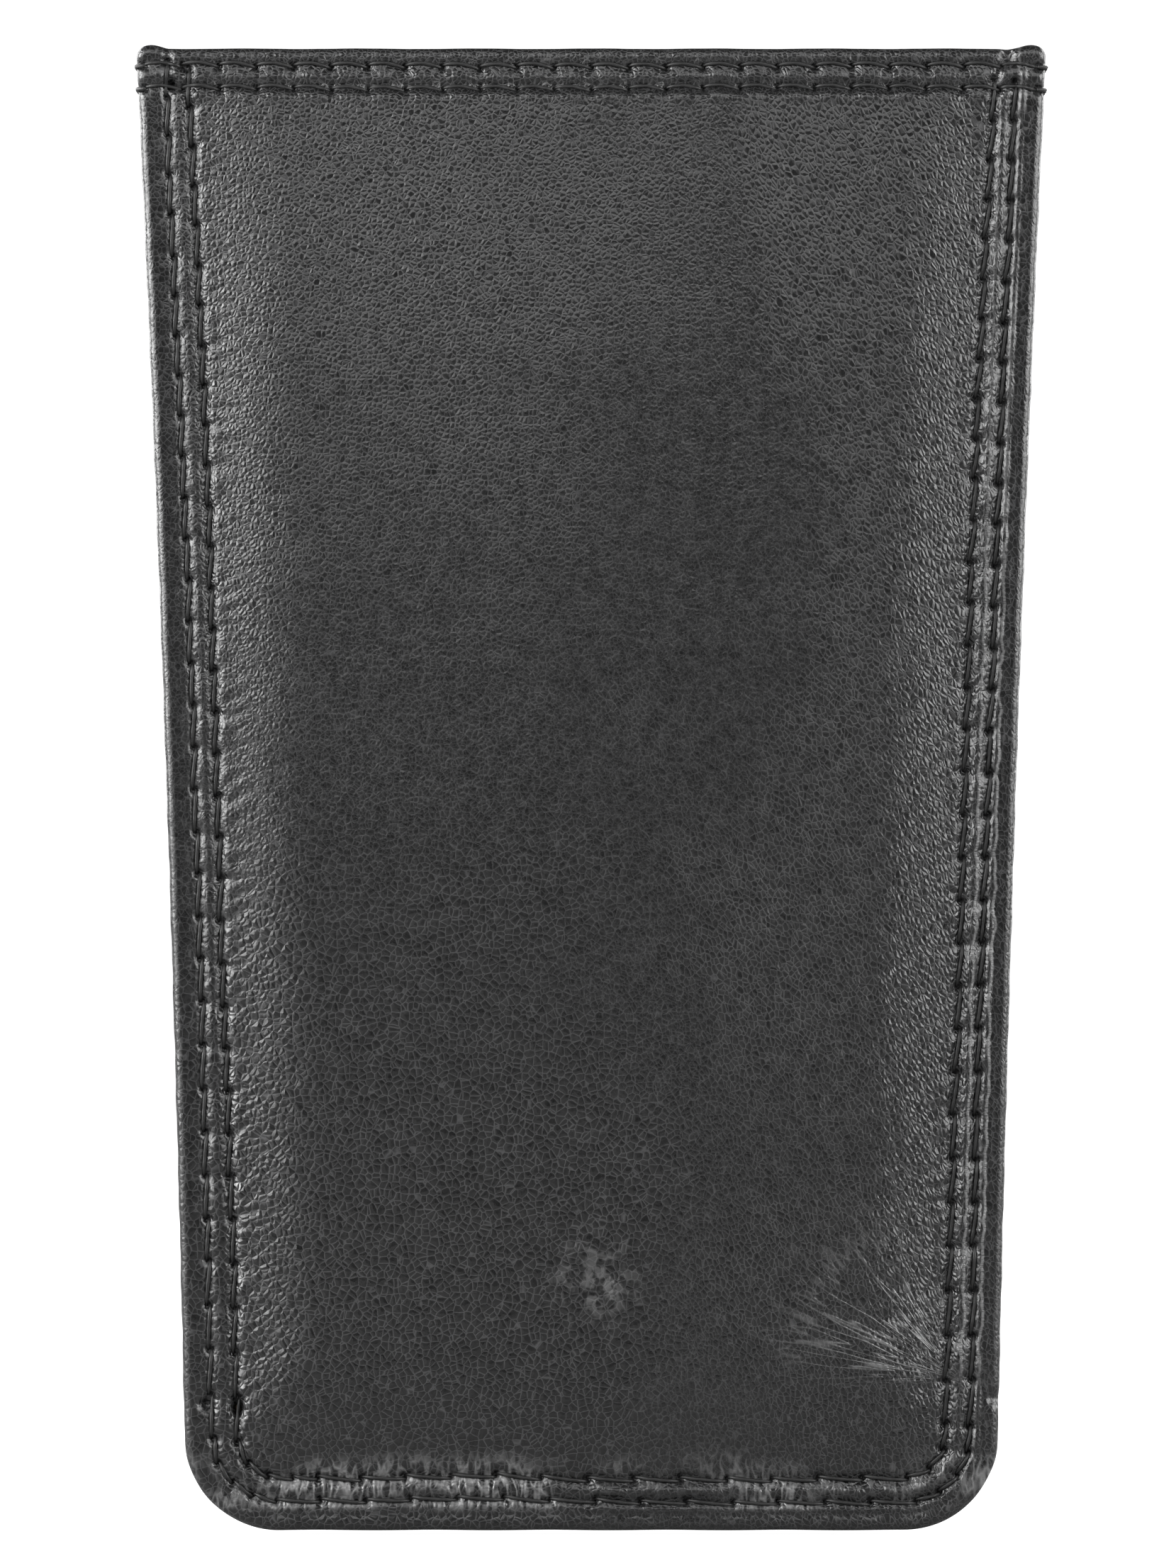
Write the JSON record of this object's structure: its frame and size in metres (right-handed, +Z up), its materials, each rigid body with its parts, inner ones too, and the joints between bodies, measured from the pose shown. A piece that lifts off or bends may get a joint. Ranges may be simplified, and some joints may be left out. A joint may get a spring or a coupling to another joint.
{
  "type": "money clip",
  "caption": "Leather card and cash sleeve, open at the top, with a padded double-stitched front and a sprung steel money clip hinged on its back.",
  "frame": {"origin": "middle of the sleeve's bottom edge, in the plane where the front and back panels meet", "axes": "+Z up along the sleeve to its open mouth, +X across its width, -Y out of the padded front, +Y out of the back that carries the clip"},
  "size_m": [0.07, 0.0098, 0.114],
  "materials": {
    "front_leather": "semi-gloss grained black leather",
    "back_leather": "semi-gloss grained black leather",
    "thread": "black bonded sewing thread",
    "padding": "thin closed-cell foam",
    "board": "bonded leather fibre board",
    "lining": "black plain-woven cloth",
    "clip_steel": "polished stainless steel",
    "spring_steel": "drawn spring wire",
    "rivet_steel": "nickel-plated steel"
  },
  "bodies": {
    "sleeve": {"front_leather": "front_leather", "back_leather": "back_leather", "front_padding": "padding", "front_stiffener": "board", "back_stiffener": "board", "back_reinforcement": "board", "front_lining": "lining", "back_lining": "lining", "front_hem_upper_thread": "thread", "front_hem_lower_thread": "thread", "back_hem_upper_thread": "thread", "back_hem_lower_thread": "thread", "outer_needle_thread": "thread", "inner_needle_thread": "thread", "outer_bobbin_thread": "thread", "inner_bobbin_thread": "thread", "clip_base_plate": "clip_steel", "clip_hinge_pin": "rivet_steel", "clip_rivets": "rivet_steel", "rivet_washers": "rivet_steel", "clip_torsion_spring": "spring_steel"},
    "clip_arm": {"clip_arm": "clip_steel"}
  },
  "joints": [
    {"name": "clip_hinge", "type": "hinge", "parent": "sleeve", "child": "clip_arm", "pos_m": [0, 0.0041, 0.0125], "axis": [-1, 0, 0], "range_deg": [0, 70], "stiffness_Nm_per_rad": 0.08, "springref_deg": -68.75, "deforming": ["clip_torsion_spring"]}
  ]
}
